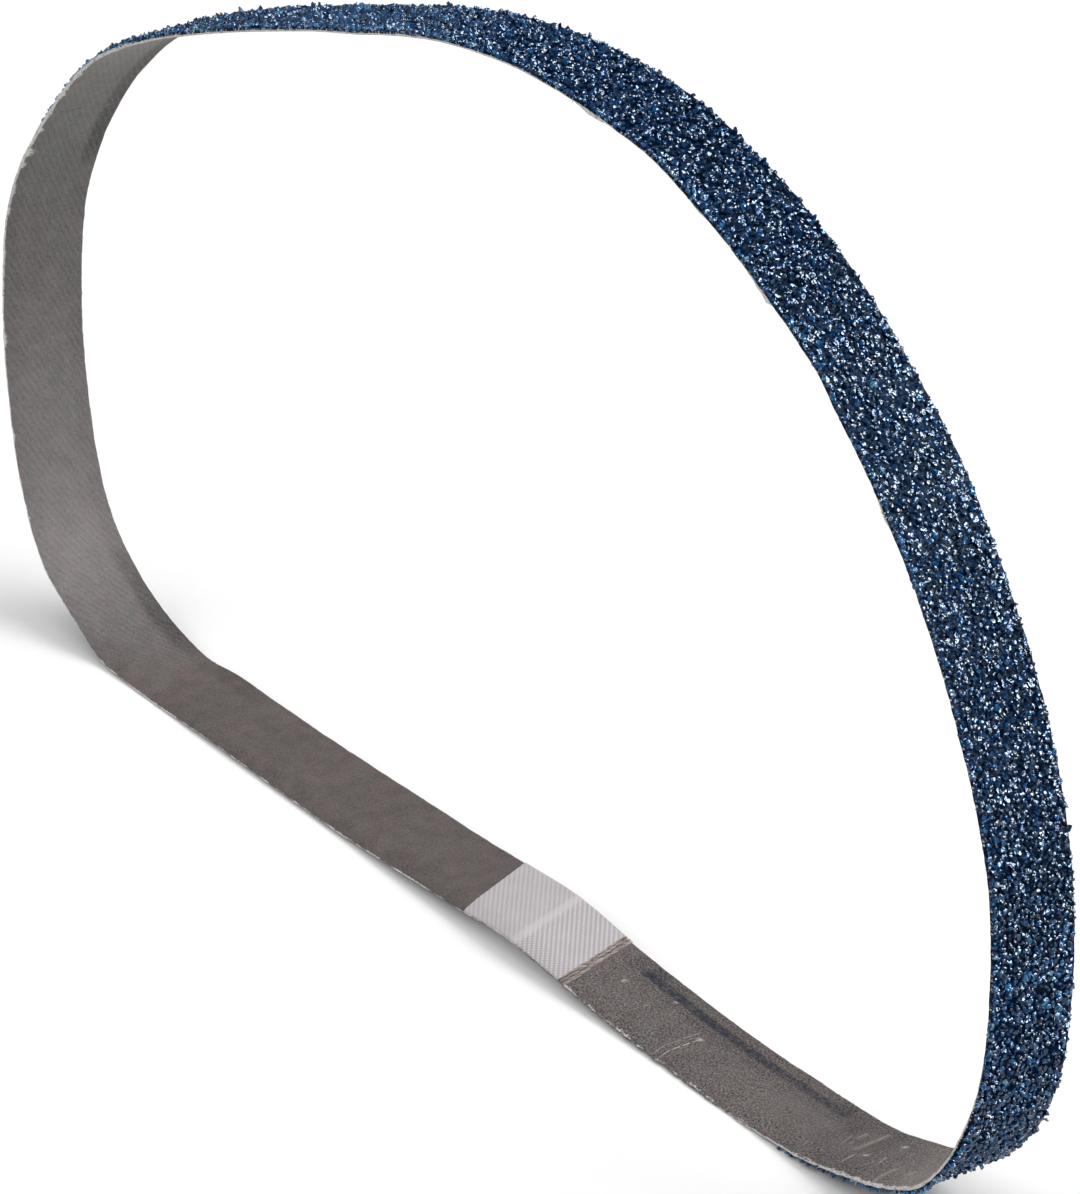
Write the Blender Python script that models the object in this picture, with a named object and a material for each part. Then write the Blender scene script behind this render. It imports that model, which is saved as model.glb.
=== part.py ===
"""A narrow sanding belt for a hand-held belt file, standing as an upright loop.

The belt is a strip of cloth with a coat of abrasive grain on its outer face. Its two ends meet in a slanting
butt joint, and a short tape on the inner face holds them together. Lengths are in metres. The belt stands on
z = 0 with its width along y, and its long way along x.
"""

import math

import bmesh
import bpy
import numpy as np

# Sizes of the belt
BELT_LENGTH = 0.520
BELT_WIDTH = 0.012
BACKING_THICKNESS = 0.0005
COAT_THICKNESS = 0.0004
TAPE_THICKNESS = 0.00015
TAPE_LENGTH = 0.021

# The joint: how far its cut leans away from square, and the slit left between the two ends
JOINT_SKEW = math.radians(18)
JOINT_SLIT = 0.0003
# The tape was laid on with its middle this far past the joint
TAPE_OFF_CENTRE = 0.0005

# Pieces that are glued to each other keep this much air, so that their meshes stay apart
TOUCH_GAP = 0.0003

# How the belt lies: percent of the way round, and the heading there in degrees, seen from the side with 0
# along +x and 90 upwards. Between two places the belt bends in a plain arc.
HEADINGS = (
    (1, -8),        # the joint stands a little off the ground, and the belt drops away from it
    (10.5, 5),
    (12.5, 18),
    (15.5, 50),     # tight bend at the right-hand end
    (19, 84),
    (27.5, 120),
    (32.5, 134),
    (41.5, 167),
    (45.5, 183),    # top of the loop
    (51.5, 199),
    (56.5, 200),    # nearly straight slope down to the left
    (60, 204),
    (62.5, 210),
    (65, 228),
    (68, 237),
    (71, 261),      # left-hand end
    (77.5, 286),
    (81, 324),
    (83, 346),
    (85, 363),      # soft crease where the belt meets the ground
    (88.5, 360),
    (99, 364),
)
# The joint comes this far before the place where the table starts to count
JOINT_BEFORE_TABLE = 0.0012

# The belt's own weight flattens it by this much where it touches the ground
PRESSED_FLAT = 0.00008

# Spacing of the cross-sections in the solids, and of the points that the path is worked out from
SECTION_STEP = 0.004
PATH_STEP = 0.0005

# Cross-sections lean over to the joint's slant within this distance of it
SKEW_REACH = 0.030

FULL_TURN = 360
PERCENT = 100

# Heights above the running face, counted outwards from the inside of the loop
BACKING_TOP = BACKING_THICKNESS
COAT_BOTTOM = BACKING_TOP + TOUCH_GAP
COAT_TOP = COAT_BOTTOM + COAT_THICKNESS
TAPE_TOP = -TOUCH_GAP
TAPE_BOTTOM = TAPE_TOP - TAPE_THICKNESS


def clear_scene():
    for old in list(bpy.data.objects):
        bpy.data.objects.remove(old, do_unlink=True)


def level(points):
    """Turns the loop in its own plane until its two lowest places, left and right, are equally high."""
    middle = (points[:, 0].min() + points[:, 0].max()) / 2
    left_side = points[points[:, 0] < middle]
    right_side = points[points[:, 0] >= middle]
    left = left_side[np.argmin(left_side[:, 1])]
    right = right_side[np.argmin(right_side[:, 1])]
    tilt = math.atan2(right[1] - left[1], right[0] - left[0])
    turn = np.array([[math.cos(tilt), -math.sin(tilt)], [math.sin(tilt), math.cos(tilt)]])
    return points @ turn


def running_path():
    """The running face in side view: distances along it, points (x, z) and outward directions, all round."""
    places = [place for place, heading in HEADINGS]
    turns = [heading for place, heading in HEADINGS]
    places = [places[-1] - PERCENT] + places + [places[0] + PERCENT]
    turns = [turns[-1] - FULL_TURN] + turns + [turns[0] + FULL_TURN]

    count = round(BELT_LENGTH / PATH_STEP)
    along = np.arange(count) * BELT_LENGTH / count
    halfway = (along + BELT_LENGTH / count / 2 - JOINT_BEFORE_TABLE) / BELT_LENGTH * PERCENT
    heading = np.radians(np.interp(halfway, places, turns))
    steps = np.stack([np.cos(heading), np.sin(heading)], axis=1) * BELT_LENGTH / count
    steps -= steps.mean(axis=0)
    points = np.vstack([np.zeros(2), np.cumsum(steps, axis=0)[:-1]])
    points = level(points)

    ground = points[:, 1].min() + PRESSED_FLAT
    points[:, 1] = np.maximum(points[:, 1], ground) - ground + COAT_TOP
    points[:, 0] -= (points[:, 0].min() + points[:, 0].max()) / 2

    tangents = np.roll(points, -1, axis=0) - np.roll(points, 1, axis=0)
    tangents /= np.linalg.norm(tangents, axis=1)[:, None]
    outward = np.stack([tangents[:, 1], -tangents[:, 0]], axis=1)
    return along, points, outward


def place_on_belt(path, distance, height):
    """The point (x, z) at a distance from the joint along the belt and a height above its running face."""
    along, points, outward = path
    spot = np.array([np.interp(distance, along, points[:, axis], period=BELT_LENGTH) for axis in range(2)])
    out = np.array([np.interp(distance, along, outward[:, axis], period=BELT_LENGTH) for axis in range(2)])
    return spot + height * out / np.linalg.norm(out)


def skewed(distance, side):
    """The distance at which a cross-section meets one edge of the belt: near the joint it leans as the cut does."""
    from_joint = abs((distance + BELT_LENGTH / 2) % BELT_LENGTH - BELT_LENGTH / 2)
    lean = max(0.0, 1.0 - from_joint / SKEW_REACH)
    return distance - lean * math.tan(JOINT_SKEW) * side


def belt_layer(name, path, start, end, bottom, top, material):
    """One closed strip that follows the belt from start to end, between two heights above the running face."""
    sections = max(2, round((end - start) / SECTION_STEP))
    half_width = BELT_WIDTH / 2
    corners = ((-half_width, bottom), (half_width, bottom), (half_width, top), (-half_width, top))
    mesh_maker = bmesh.new()
    rings = []
    for index in range(sections + 1):
        distance = start + (end - start) * index / sections
        ring = []
        for side, height in corners:
            x, z = place_on_belt(path, skewed(distance, side), height)
            ring.append(mesh_maker.verts.new((x, side, z)))
        rings.append(ring)
    for ring, following in zip(rings, rings[1:]):
        for corner in range(len(corners)):
            beside = (corner + 1) % len(corners)
            mesh_maker.faces.new((ring[corner], ring[beside], following[beside], following[corner]))
    mesh_maker.faces.new(rings[0][::-1])
    mesh_maker.faces.new(rings[-1])
    bmesh.ops.recalc_face_normals(mesh_maker, faces=mesh_maker.faces)

    mesh = bpy.data.meshes.new(name)
    mesh_maker.to_mesh(mesh)
    mesh_maker.free()
    mesh.shade_smooth()
    mesh.set_sharp_from_angle(angle=math.radians(35))
    mesh.materials.append(material)
    layer = bpy.data.objects.new(name, mesh)
    bpy.context.scene.collection.objects.link(layer)
    return layer


def plain_material(name, colour, roughness):
    material = bpy.data.materials.new(name)
    material.use_nodes = True
    shader = material.node_tree.nodes["Principled BSDF"]
    shader.inputs["Base Color"].default_value = (*colour, 1.0)
    shader.inputs["Roughness"].default_value = roughness
    shader.inputs["Metallic"].default_value = 0.0
    return material


def build():
    clear_scene()
    path = running_path()
    cloth = plain_material("grey_brown_cloth", (0.17, 0.15, 0.145), 0.85)
    grain = plain_material("blue_grain", (0.035, 0.045, 0.12), 0.45)
    tape = plain_material("ribbed_tape", (0.56, 0.53, 0.56), 0.6)

    first_end = JOINT_SLIT / 2
    second_end = BELT_LENGTH - JOINT_SLIT / 2
    belt_layer("cloth_backing", path, first_end, second_end, 0.0, BACKING_TOP, cloth)
    belt_layer("abrasive_coat", path, first_end, second_end, COAT_BOTTOM, COAT_TOP, grain)
    tape_start = TAPE_OFF_CENTRE - TAPE_LENGTH / 2
    belt_layer("joint_tape", path, tape_start, tape_start + TAPE_LENGTH, TAPE_BOTTOM, TAPE_TOP, tape)


build()
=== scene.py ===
"""The looks of a narrow sanding belt that stands as an upright loop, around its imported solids.

The strip of cloth, the coat of grain and the joint's tape each replace their solid. Places on the belt are
given by the distance along it from the joint, the side (y), and the height outwards from the running face,
which is the inside of the loop. The near rim, towards the camera, is at negative y. Lengths are in metres.
"""
import math

import bmesh
import bpy
import numpy as np
from mathutils import Matrix, Vector


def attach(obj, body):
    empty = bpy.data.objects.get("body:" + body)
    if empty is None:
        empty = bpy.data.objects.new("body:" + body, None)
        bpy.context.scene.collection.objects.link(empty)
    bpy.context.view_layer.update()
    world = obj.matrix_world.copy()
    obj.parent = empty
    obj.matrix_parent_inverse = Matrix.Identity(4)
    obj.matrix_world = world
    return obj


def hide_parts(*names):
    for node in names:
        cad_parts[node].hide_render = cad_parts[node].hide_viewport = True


MM = 0.001
MICRON = 0.000001
FULL_TURN = 360
PERCENT = 100

# The belt's sizes and its side view, as in its source
BELT_LENGTH = 0.520
BELT_WIDTH = 0.012
HALF_WIDTH = BELT_WIDTH / 2
BACKING_THICKNESS = 0.0005
BELT_THICKNESS = 0.0012
TAPE_LENGTH = 0.021
TAPE_OFF_CENTRE = 0.0005
JOINT_SLIT = 0.0003
PRESSED_FLAT = 0.00008
PATH_STEP = 0.0005
HEADINGS = (
    (1, -8), (10.5, 5), (12.5, 18), (15.5, 50), (19, 84), (27.5, 120), (32.5, 134), (41.5, 167), (45.5, 183),
    (51.5, 199), (56.5, 200), (60, 204), (62.5, 210), (65, 228), (68, 237), (71, 261), (77.5, 286), (81, 324),
    (83, 346), (85, 363), (88.5, 360), (99, 364),
)
JOINT_BEFORE_TABLE = 0.0012

# Soft dents of the rims: distance along the belt, and how far the rim stands outwards there, all in mm
FAR_DENTS = (
    (0, 0.05), (6, 0.25), (12, 0.2), (20, -0.05), (32, -0.1), (38, 0), (44, -0.25), (52, 0), (60, 0.15),
    (66, -0.05), (71, 0.4), (76, 1.2), (81, 1.5), (88, 1.2), (96, 0.5), (106, 0.1), (130, -0.1),
    (150, -0.1), (166, 0.3), (180, -0.1), (200, 0), (330, 0), (338, -0.1), (344, 0.2), (351, 0.05),
    (360, -0.3), (368, 0), (400, -0.05), (407, 0.05), (413, 0.38), (420, 0.2), (428, -0.1), (434, 0),
    (440, 0.3), (446, -0.32), (453, 0.05), (462, 0.1), (472, -0.1), (485, -0.27), (500, -0.2),
    (516, -0.2),
)
NEAR_DENTS = (
    (0, 0.1), (5, 0.2), (12, -0.05), (30, -0.12), (38, 0.05), (47, 0.25), (58, 0.1), (65, -0.2),
    (69, 0.1), (73, 0.6), (77, 1.1), (83, 0.6), (91, 0.1), (100, 0), (112, 0.15), (123, 0.42),
    (132, 0.05), (140, -0.22), (150, -0.1), (158, 0), (172, -0.05), (177, -0.15), (182, 0.42), (188, 0.1),
    (192, -0.1), (208, -0.05), (216, 0.33), (222, -0.1), (233, -0.15), (240, 0.13), (255, 0.17), (263, 0),
    (271, -0.12), (280, 0.22), (292, 0.18), (302, 0.08), (335, 0), (350, -0.1), (355, -0.2), (362, 0.05),
    (370, 0.25), (378, 0), (386, -0.15), (395, -0.35), (404, -0.2), (408, -0.3), (411, 0.05), (415, 0.35),
    (418, 0.55), (422, -0.05), (427, -0.15), (430, 0.35), (433, 0.45), (436, -0.05), (440, -0.18),
    (448, 0), (460, 0.02), (470, 0.15), (478, 0.3), (486, 0.43), (495, 0.25), (503, 0.18), (510, 0.25),
    (518, 0.02),
)
# The near edge of the cloth is rolled outwards over the grain: distance, and how far at the edge, in mm
ROLLED = (
    (0, 0.95), (20, 0.9), (35, 0.8), (50, 0.6), (70, 0.45), (84, 0.2), (94, 0), (345, 0), (356, 0.3),
    (375, 0.5), (400, 0.8), (418, 1.0), (515, 1.0),
)
ROLL_WIDTH = 2.4
ROLL_POWER = 1.7
# Fibres past the edge follow the roll a little further than the edge itself
ROLL_LIMIT = 1.05
# The cloth's back moves less than its face there, by this share
ROLL_THINS = 0.35
# There the coat stops short of the near edge: distance, and how far, in mm
COAT_INSET = (
    (0, 1.3), (30, 1.1), (42, 0.6), (52, 0.15), (60, 0), (322, 0), (330, 0.15), (338, 0.3), (346, 0.55),
    (353, 0.9), (370, 1.2), (515, 1.3),
)
# Blue resin has run over the near cut edge: distance, and the height in mm that it comes down to
SKIRT = (
    (0, 0.5), (80, 0.5), (92, 0.3), (102, 0.2), (112, 0.02), (138, 0.04), (150, 0.2), (200, 0.24),
    (230, 0.28), (255, 0.3), (270, 0.27), (310, 0.27), (328, 0.36), (340, 0.5), (515, 0.5),
)

# The tables are smoothed by reading them at these distances round each place, in mm
TABLE_SMOOTHING = (-1.2, -0.4, 0.4, 1.2)

# Cross-sections lean near the joint: distance from it in mm, and how far along they move per mm across
LEAN = ((-30, 0), (-10, 0.325), (0, 0.236), (11, 0.24), (30, 0))

# The photograph's view of it: where the camera looks, from how far, and how long its lens is
VIEW_AZIMUTH = math.radians(51.784)
VIEW_ELEVATION = math.radians(28.607)
VIEW_ROLL = math.radians(1.553)
VIEW_DISTANCE = 0.7471
VIEW_TARGET = (0.00893, 0.0, 0.04671)
FOCAL_OVER_HEIGHT = 6276.4 / 1194
SENSOR = 36.0


def srgb(red, green, blue):
    """A colour as it looks on a screen, 0 to 255, in the linear values that the shaders take."""
    parts = np.array([red, green, blue]) / 255
    linear = np.where(parts <= 0.04045, parts / 12.92, ((parts + 0.055) / 1.055) ** 2.4)
    return (*linear.tolist(), 1.0)


def level(points):
    """Turns the loop in its own plane until its two lowest places, left and right, are equally high."""
    middle = (points[:, 0].min() + points[:, 0].max()) / 2
    left_side = points[points[:, 0] < middle]
    right_side = points[points[:, 0] >= middle]
    left = left_side[np.argmin(left_side[:, 1])]
    right = right_side[np.argmin(right_side[:, 1])]
    tilt = math.atan2(right[1] - left[1], right[0] - left[0])
    turn = np.array([[math.cos(tilt), -math.sin(tilt)], [math.sin(tilt), math.cos(tilt)]])
    return points @ turn


def running_path():
    """The running face in side view: distances along it, points (x, z) and outward directions, all round."""
    places = [place for place, heading in HEADINGS]
    turns = [heading for place, heading in HEADINGS]
    places = [places[-1] - PERCENT] + places + [places[0] + PERCENT]
    turns = [turns[-1] - FULL_TURN] + turns + [turns[0] + FULL_TURN]

    count = round(BELT_LENGTH / PATH_STEP)
    along = np.arange(count) * BELT_LENGTH / count
    halfway = (along + BELT_LENGTH / count / 2 - JOINT_BEFORE_TABLE) / BELT_LENGTH * PERCENT
    heading = np.radians(np.interp(halfway, places, turns))
    steps = np.stack([np.cos(heading), np.sin(heading)], axis=1) * BELT_LENGTH / count
    steps -= steps.mean(axis=0)
    points = np.vstack([np.zeros(2), np.cumsum(steps, axis=0)[:-1]])
    points = level(points)

    ground = points[:, 1].min() + PRESSED_FLAT
    points[:, 1] = np.maximum(points[:, 1], ground) - ground + BELT_THICKNESS
    points[:, 0] -= (points[:, 0].min() + points[:, 0].max()) / 2

    tangents = np.roll(points, -1, axis=0) - np.roll(points, 1, axis=0)
    tangents /= np.linalg.norm(tangents, axis=1)[:, None]
    outward = np.stack([tangents[:, 1], -tangents[:, 0]], axis=1)
    return along, points, outward


ALONG, PATH_POINTS, OUTWARD = running_path()


def round_path(values, distance):
    """Pairs (x, z) that belong to the path's points, read at each distance."""
    pair = [np.interp(distance, ALONG, values[:, axis], period=BELT_LENGTH) for axis in range(2)]
    return np.stack(pair, axis=-1)


def read_off(table, distance):
    """The value in mm, smoothed a little, that a table of (distance, value) in mm gives at each distance."""
    places, values = zip(*table)
    at = np.asarray(distance) / MM
    total = 0.0
    for shift in TABLE_SMOOTHING:
        total = total + np.interp(at + shift, places, values, period=BELT_LENGTH / MM)
    return total / len(TABLE_SMOOTHING)


def rolled_share(side):
    """How much of the near edge's roll each side takes part in."""
    return np.clip((-side / MM - HALF_WIDTH / MM + ROLL_WIDTH) / ROLL_WIDTH, 0, ROLL_LIMIT) ** ROLL_POWER


def on_belt(distance, side, height, rolled=0.0):
    """Points (x, y, z) at places on the belt. rolled is 1 for what follows the near edge's roll, else 0.

    Nothing comes below the ground.
    """
    distance, side, height = np.broadcast_arrays(distance, side, height)
    out = round_path(OUTWARD, distance)
    out = out / np.linalg.norm(out, axis=-1, keepdims=True)
    toward_near = np.clip(0.5 - side / BELT_WIDTH, 0, 1)
    dent = read_off(FAR_DENTS, distance) * (1 - toward_near) + read_off(NEAR_DENTS, distance) * toward_near
    pressed_thin = 1 - ROLL_THINS * np.clip(height / BACKING_THICKNESS, 0, 1)
    height = height + rolled * read_off(ROLLED, distance) * MM * rolled_share(side) * pressed_thin
    height = height + dent * MM
    spot = round_path(PATH_POINTS, distance) + height[..., None] * out
    return np.stack([spot[..., 0], side, np.maximum(spot[..., 1], 0.0)], axis=-1)


def leaning(distance, side):
    """The distances at which a cross-section meets each side: near the joint it leans as the cut does."""
    from_joint = (distance + BELT_LENGTH / 2) % BELT_LENGTH - BELT_LENGTH / 2
    places, leans = zip(*LEAN)
    return distance - np.interp(from_joint / MM, places, leans) * side


def wander(places, wavelength, seed):
    """A smooth random line from about -1 to 1 that repeats after the belt's length, read at some places."""
    knots = max(4, round(BELT_LENGTH / wavelength))
    heights = np.random.default_rng(seed).uniform(-1, 1, knots)
    at = np.asarray(places) / BELT_LENGTH % 1.0 * knots
    first = np.floor(at).astype(int)
    part = at - first
    part = part * part * (3 - 2 * part)
    return heights[first % knots] * (1 - part) + heights[(first + 1) % knots] * part


def waves(distance, *terms):
    """Smooth random lines that add up, each given by its height, wavelength and seed."""
    return sum(height * wander(distance, wavelength, seed) for height, wavelength, seed in terms)


def rise(value, start, length):
    """0 up to the start, then rising evenly to 1 over the length."""
    return np.clip((value - start) / length, 0, 1)


def soft_window(distance, start, end, fade):
    """1 between start and end, falling to 0 over the fade outside them."""
    up = np.clip((distance - start + fade) / fade, 0, 1)
    down = np.clip((end + fade - distance) / fade, 0, 1)
    return up * up * (3 - 2 * up) * down * down * (3 - 2 * down)


def sections(start, end, step):
    """Even distances from start to end, about a step apart."""
    return np.linspace(start, end, round((end - start) / step) + 1)


def between(near, far, shares):
    """Sides between two edges, for shares from -1 at the near one to 1 at the far one."""
    return near[:, None] + (far - near)[:, None] * (shares + 1) / 2


def placed(name, data):
    """A new object in the scene that shows a mesh, a lamp or a camera."""
    holder = bpy.data.objects.new(name, data)
    bpy.context.scene.collection.objects.link(holder)
    return holder


def mesh_piece(name, points, faces, material, places, values=None):
    """A piece from arrays. places are each point's distance, side and height, which the materials read in mm.

    values are more numbers for each point, which a material reads by their names.
    """
    mesh = bpy.data.meshes.new(name)
    mesh.from_pydata(points.reshape(-1, 3).tolist(), [], faces)
    kept = mesh.attributes.new("belt_place", "FLOAT_VECTOR", "POINT")
    kept.data.foreach_set("vector", (places / MM).astype(np.float32).ravel())
    for key, value in (values or {}).items():
        kept = mesh.attributes.new(key, "FLOAT", "POINT")
        kept.data.foreach_set("value", value.astype(np.float32).ravel())
    mesh.shade_smooth()
    mesh.materials.append(material)
    piece = placed(name, mesh)
    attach(piece, "root")
    return piece


def belt_piece(name, places, faces, material, values=None, rolled=1.0):
    """A piece whose points are given as three arrays: their distances, sides and heights."""
    points = on_belt(*places, rolled)
    return mesh_piece(name, points, faces, material, np.stack(places, axis=-1), values)


def ring_faces(rings, corners):
    """Faces of a closed tube of rings, each of as many corners, with both ends closed."""
    index = np.arange(rings * corners).reshape(rings, corners)
    near = index[:-1]
    beyond = index[1:]
    faces = np.stack([near, np.roll(near, -1, axis=1), np.roll(beyond, -1, axis=1), beyond], axis=-1)
    return faces.reshape(-1, 4).tolist() + [index[0][::-1].tolist(), index[-1].tolist()]


# The sockets of a mix node that take and give colours, and the range that a noise mostly keeps to
FIRST_COLOUR = 6
SECOND_COLOUR = 7
MIXED_COLOUR = 2
NOISE_RANGE = (0.3, 0.7)


class Shader:
    """A node material around one Principled BSDF, with short calls that add and join nodes."""

    def __init__(self, name, **constants):
        self.material = bpy.data.materials.new(name)
        self.material.use_nodes = True
        self.tree = self.material.node_tree
        self.surface = self.tree.nodes["Principled BSDF"]
        for socket, value in constants.items():
            self.surface.inputs[socket.replace("_", " ")].default_value = value

    def add(self, kind, inputs, **settings):
        made = self.tree.nodes.new(kind)
        for key, value in settings.items():
            setattr(made, key, value)
        for socket, value in inputs.items():
            if isinstance(value, bpy.types.NodeSocket):
                self.tree.links.new(value, made.inputs[socket])
            else:
                made.inputs[socket].default_value = value
        return made

    def attribute(self, name, output="Fac"):
        return self.add("ShaderNodeAttribute", {}, attribute_name=name).outputs[output]

    def place(self):
        return self.attribute("belt_place", "Vector")

    def stretched(self, vector, scale):
        return self.add("ShaderNodeMapping", {"Vector": vector, "Scale": scale}).outputs[0]

    def noise(self, vector, scale, detail=2.0, roughness=0.5):
        inputs = {"Vector": vector, "Scale": scale, "Detail": detail, "Roughness": roughness}
        return self.add("ShaderNodeTexNoise", inputs).outputs["Fac"]

    def maths(self, operation, first, second=0.0, third=0.0):
        return self.add("ShaderNodeMath", {0: first, 1: second, 2: third}, operation=operation).outputs[0]

    def spread(self, value, low, high, to_low=0.0, to_high=1.0):
        inputs = {"Value": value, "From Min": low, "From Max": high, "To Min": to_low, "To Max": to_high}
        return self.add("ShaderNodeMapRange", inputs).outputs[0]

    def swing(self, noise, to_low=0.0, to_high=1.0):
        """Spreads a noise from the range that it mostly keeps to."""
        return self.spread(noise, *NOISE_RANGE, to_low, to_high)

    def mix(self, share, first, second):
        inputs = {"Factor": share, FIRST_COLOUR: first, SECOND_COLOUR: second}
        return self.add("ShaderNodeMix", inputs, data_type="RGBA").outputs[MIXED_COLOUR]

    def times(self, colour, share):
        """A colour made lighter or darker by a share."""
        grey = self.add("ShaderNodeCombineXYZ", {"X": share, "Y": share, "Z": share}).outputs[0]
        return self.add("ShaderNodeVectorMath", {0: colour, 1: grey}, operation="MULTIPLY").outputs[0]

    def lines(self, place, angle, pitch):
        """A count that goes up by 1 from each line to the next, for even lines at an angle to the belt."""
        parts = self.add("ShaderNodeSeparateXYZ", {"Vector": place}).outputs
        across = self.maths("MULTIPLY", parts["Y"], math.cos(angle) / pitch)
        return self.maths("MULTIPLY_ADD", parts["X"], -math.sin(angle) / pitch, across)

    def ramp(self, value, *stops):
        made = self.add("ShaderNodeValToRGB", {"Fac": value})
        elements = made.color_ramp.elements
        while len(elements) < len(stops):
            elements.new(0.5)
        for element, (position, colour) in zip(elements, stops):
            element.position = position
            element.color = colour
        return made.outputs["Color"]

    def bump(self, height, distance, strength):
        inputs = {"Height": height, "Distance": distance, "Strength": strength}
        return self.add("ShaderNodeBump", inputs).outputs["Normal"]

    def wire(self, **sockets):
        for socket, value in sockets.items():
            self.tree.links.new(value, self.surface.inputs[socket.replace("_", " ")])
        return self.material


# The cloth backing
CLOTH_STEP = 0.0004
CLOTH_COLUMNS = 34
# Where the cloth's back has its points across, besides its corners, as shares of the half width
BACK_COLUMNS = (0.3, -0.35, -0.6, -0.68, -0.76, -0.84, -0.92)
EDGE_ROUNDING = 0.00012
# Twill lines: how far apart in mm, at what angle, and how much lighter than the cloth
TWILL_PITCH = 0.82
TWILL_ANGLE = math.radians(28)
TWILL_LIFT = 0.17
# Where they hardly show: from, to and fade in mm
NO_TWILL = (0, 95, 10)
# How much the single threads and the broad mottling go up and down in lightness
THREAD_LIFT = 0.22
MOTTLE_LIFT = 0.14
# A greener and a redder grey each: at the upper left, on the stretch below it, and past the crease
CLOTH_GREYS = (
    ((103, 104, 101), (107, 103, 102)),
    ((101, 99, 98), (104, 98, 98)),
    ((101, 95, 93), (104, 95, 94)),
)
# The darkest that the cloth gets anywhere, as a share of its colour
DARKEST_CLOTH = 0.2
# The tone changes at the crease: its distance at the middle, how far it moves per mm across, and its fade
CREASE = 430.0
CREASE_SLANT = 0.67
CREASE_FADE = 9
# How warm the grey is past the joint, from the upper left's 0 to the lower stretch's 1, and how far that goes
WARM_PAST_JOINT = 0.8
PAST_JOINT_ENDS = 200
# Where the upper left's grey turns warmer, and where a painted sheen lightens the near side before the
# crease: from, and over what length. Then the sides that the sheen holds for, and how much lighter it is.
TURNS_WARM = (362, 14)
SHEEN_FROM = (404, 10)
SHEEN_SIDES = (-6, 1.5, 4)
SHEEN_LIFT = 0.14
# Painted light and shade along the cloth: how much lighter than its usual colour it is, by distance and share
CLOTH_PAINTED_LIGHT = (
    (0, -0.12), (14, -0.11), (22, -0.08), (32, -0.11), (44, -0.02), (56, -0.13), (62, -0.15), (68, 0.04),
    (74, 0.45), (90, 0.5), (325, 0.5), (332, 0.4), (338, 0.28), (344, 0.16), (356, 0.02), (368, -0.04),
    (380, 0.06), (392, 0.2), (404, 0.32), (416, 0.42), (424, 0.14), (430, -0.06), (440, -0.06),
    (452, -0.18), (519, -0.2),
)


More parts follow.
